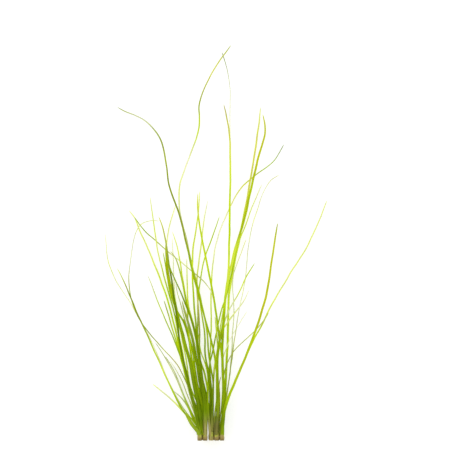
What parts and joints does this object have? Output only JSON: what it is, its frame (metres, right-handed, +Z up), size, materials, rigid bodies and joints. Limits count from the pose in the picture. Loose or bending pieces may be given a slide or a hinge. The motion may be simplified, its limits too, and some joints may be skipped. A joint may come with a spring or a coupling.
{
  "type": "bunch of tape grass",
  "caption": "Picked bunch of narrow tape grass lying on a surface: long ribbon leaves fan out from short cut crowns, arching and crossing.",
  "frame": {"origin": "middle of the bunch's outline, on the surface it lies on", "axes": "+Y from the cut crowns towards the leaf tips, +Z up from the surface, +X to the right seen from above with the tips at the top"},
  "size_m": [0.1336, 0.237, 0.0144],
  "materials": {
    "leaf_green": "smooth deep green leaf, soft sheen",
    "leaf_lime": "smooth lime-green leaf, soft sheen",
    "leaf_olive": "smooth olive-green leaf, soft sheen",
    "leaf_pale": "smooth pale yellow-green leaf, almost see-through",
    "crown": "matt pale straw to brown stem base"
  },
  "bodies": {
    "root": {"leaf_01": "leaf_pale", "leaf_02": "leaf_lime", "leaf_03": "leaf_lime", "leaf_04": "leaf_pale", "leaf_05": "leaf_pale", "leaf_06": "leaf_lime", "leaf_07": "leaf_lime", "leaf_08": "leaf_pale", "leaf_09": "leaf_green", "leaf_10": "leaf_lime", "leaf_11": "leaf_lime", "leaf_12": "leaf_lime", "leaf_13": "leaf_lime", "leaf_14": "leaf_lime", "leaf_15": "leaf_pale", "leaf_16": "leaf_lime", "leaf_17": "leaf_lime", "leaf_18": "leaf_lime", "leaf_19": "leaf_green", "leaf_20": "leaf_lime", "leaf_21": "leaf_lime", "leaf_22": "leaf_green", "leaf_23": "leaf_green", "leaf_24": "leaf_olive", "leaf_25": "leaf_green", "leaf_26": "leaf_lime", "leaf_27": "leaf_pale", "leaf_28": "leaf_pale", "leaf_29": "leaf_pale", "leaf_30": "leaf_lime", "leaf_31": "leaf_green", "leaf_32": "leaf_pale", "leaf_33": "leaf_lime", "leaf_34": "leaf_lime", "leaf_35": "leaf_lime", "leaf_36": "leaf_green", "leaf_37": "leaf_green", "leaf_38": "leaf_lime", "leaf_39": "leaf_green", "leaf_40": "leaf_green", "leaf_41": "leaf_olive", "leaf_42": "leaf_green", "leaf_43": "leaf_lime", "leaf_44": "leaf_green", "leaf_45": "leaf_lime", "leaf_46": "leaf_lime", "leaf_47": "leaf_green", "leaf_48": "leaf_lime", "leaf_49": "leaf_green", "leaf_50": "leaf_olive", "crown_1": "crown", "crown_2": "crown", "crown_3": "crown", "crown_4": "crown", "crown_5": "crown", "crown_6": "crown", "crown_7": "crown", "crown_8": "crown"}
  },
  "joints": []
}
